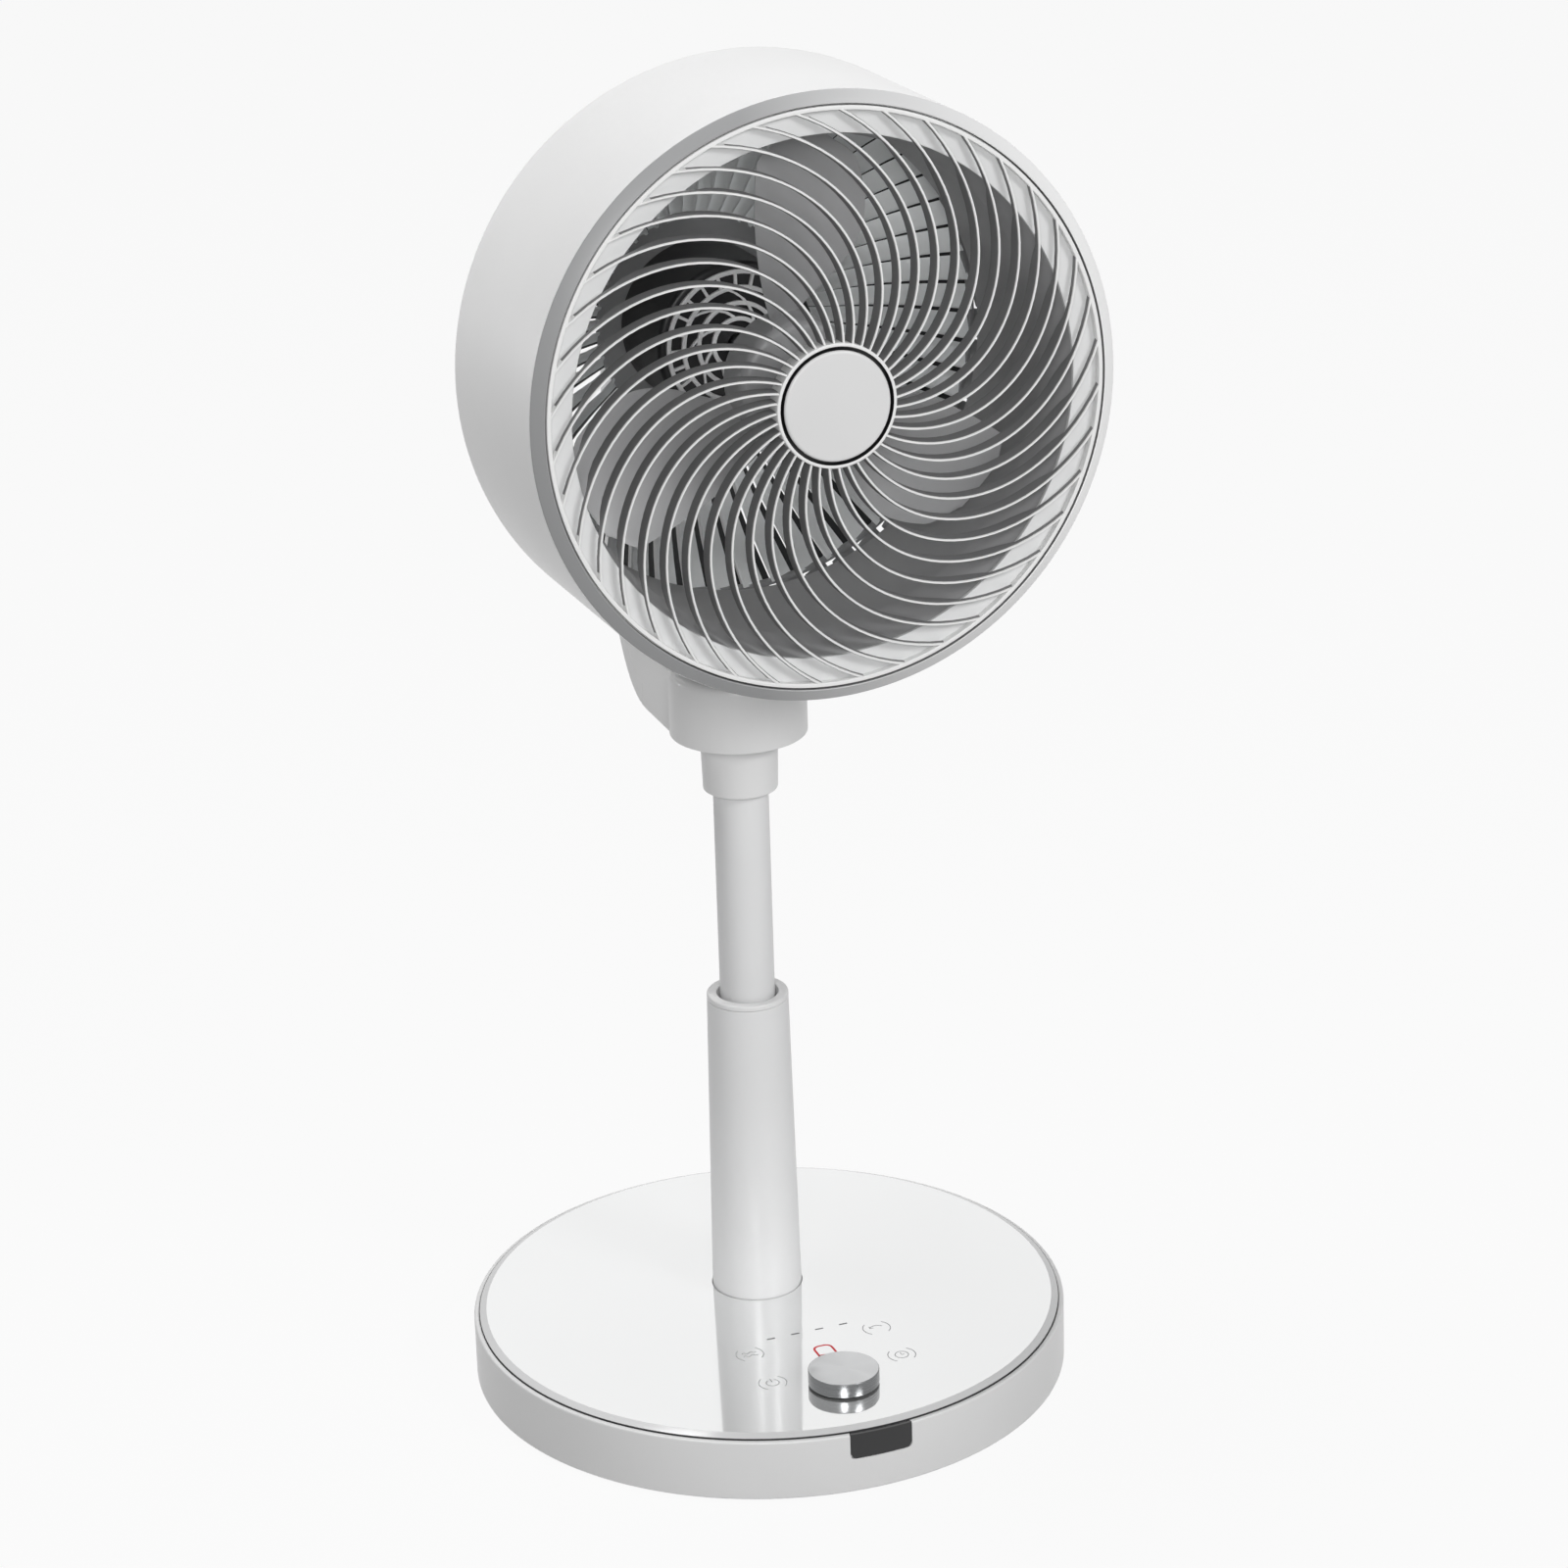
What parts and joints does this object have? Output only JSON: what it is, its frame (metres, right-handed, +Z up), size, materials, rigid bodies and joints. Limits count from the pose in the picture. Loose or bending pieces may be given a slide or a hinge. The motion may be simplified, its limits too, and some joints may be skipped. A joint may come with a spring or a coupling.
{
  "type": "air circulator fan",
  "caption": "Pedestal air circulator fan with a deep round tilting head, spiral grille, swinging neck arm, telescopic column and round weighted base with a control knob.",
  "frame": {"origin": "middle of the round base on the surface it stands on", "axes": "+Z up, -Y the way the air blows with the head facing forward, +X to the right seen from the front"},
  "size_m": [0.32, 0.32, 0.7271],
  "materials": {
    "white_plastic": "satin white moulded plastic",
    "grille_white": "satin off-white moulded plastic",
    "grey_plastic": "satin light grey moulded plastic",
    "dark_plastic": "matt mid grey moulded plastic",
    "black_plastic": "black moulded plastic",
    "white_glass": "back-painted white tempered glass, polished",
    "knob_aluminium": "turned top, brushed side",
    "steel": "zinc plated",
    "iron": "as cast",
    "windings": "enamelled copper wire on steel",
    "painted_tube": "pale grey satin paint",
    "rubber": "matt",
    "board": "green solder mask",
    "acetal": "natural, slippery"
  },
  "bodies": {
    "base": {"base_shell": "white_plastic", "glass_top": "white_glass", "side_window": "black_plastic", "bottom_plate": "grey_plastic", "ballast_ring": "iron", "foot_1": "rubber", "foot_2": "rubber", "foot_3": "rubber", "foot_4": "rubber", "foot_5": "rubber", "foot_6": "rubber", "base_screw_1": "steel", "base_screw_2": "steel", "base_screw_3": "steel", "base_screw_4": "steel", "touch_board": "board", "display_module": "black_plastic", "encoder_body": "black_plastic", "power_board": "board", "inlet_socket": "black_plastic", "inlet_pin_1": "steel", "inlet_pin_2": "steel", "column_flange": "steel", "outer_sleeve": "painted_tube", "sleeve_cap": "white_plastic", "guide_bush": "acetal"},
    "knob_stem": {"encoder_stem": "steel"},
    "knob": {"control_knob": "knob_aluminium"},
    "mast": {"inner_tube": "painted_tube", "slide_shoe": "acetal", "column_collar": "white_plastic", "slip_washer": "acetal", "swing_gear": "acetal"},
    "neck": {"neck_shell": "white_plastic", "arm_cover": "white_plastic", "tilt_motor": "iron", "tilt_bush": "acetal", "ear_cap_left": "grey_plastic", "ear_cap_right": "grey_plastic", "swing_motor": "iron"},
    "pinion": {"swing_pinion": "acetal"},
    "head": {"drum_shell": "white_plastic", "front_bezel": "grey_plastic", "air_duct": "dark_plastic", "front_grille": "grille_white", "hub_cap": "grey_plastic", "rear_guard": "grille_white", "motor_housing": "black_plastic", "motor_stator": "windings", "rear_cap": "white_plastic", "tilt_knuckle": "steel", "tilt_shaft": "steel"},
    "rotor": {"impeller": "dark_plastic", "spinner_nut": "dark_plastic", "motor_shaft": "steel", "motor_rotor": "iron"}
  },
  "joints": [
    {"name": "lift", "type": "slide", "parent": "base", "child": "mast", "axis": [0, 0, 1], "range_m": [-0.112, 0]},
    {"name": "swing", "type": "hinge", "parent": "mast", "child": "neck", "pos_m": [0, 0.0176, 0.3585], "axis": [0, 0, 1], "range_deg": [-60, 60]},
    {"name": "pinion_turn", "type": "hinge", "parent": "neck", "child": "pinion", "pos_m": [0, 0.04165, 0.365], "axis": [0, 0, 1], "range_deg": [-181, 181]},
    {"name": "tilt", "type": "hinge", "parent": "neck", "child": "head", "pos_m": [0, 0.114, 0.5685], "axis": [-1, 0, 0], "range_deg": [-8, 86]},
    {"name": "spin", "type": "hinge", "parent": "head", "child": "rotor", "pos_m": [0, 0.114, 0.5685], "axis": [0, -0.9994, 0.0349], "continuous": true},
    {"name": "knob_press", "type": "slide", "parent": "base", "child": "knob_stem", "axis": [0, 0, 1], "range_m": [-0.0008, 0], "stiffness_N_per_m": 1500},
    {"name": "knob_turn", "type": "hinge", "parent": "knob_stem", "child": "knob", "pos_m": [0, -0.1106, 0.04], "axis": [0, 0, 1], "continuous": true}
  ],
  "couplings": [
    {"joint": "pinion_turn", "follows": "swing", "ratio": 3}
  ]
}
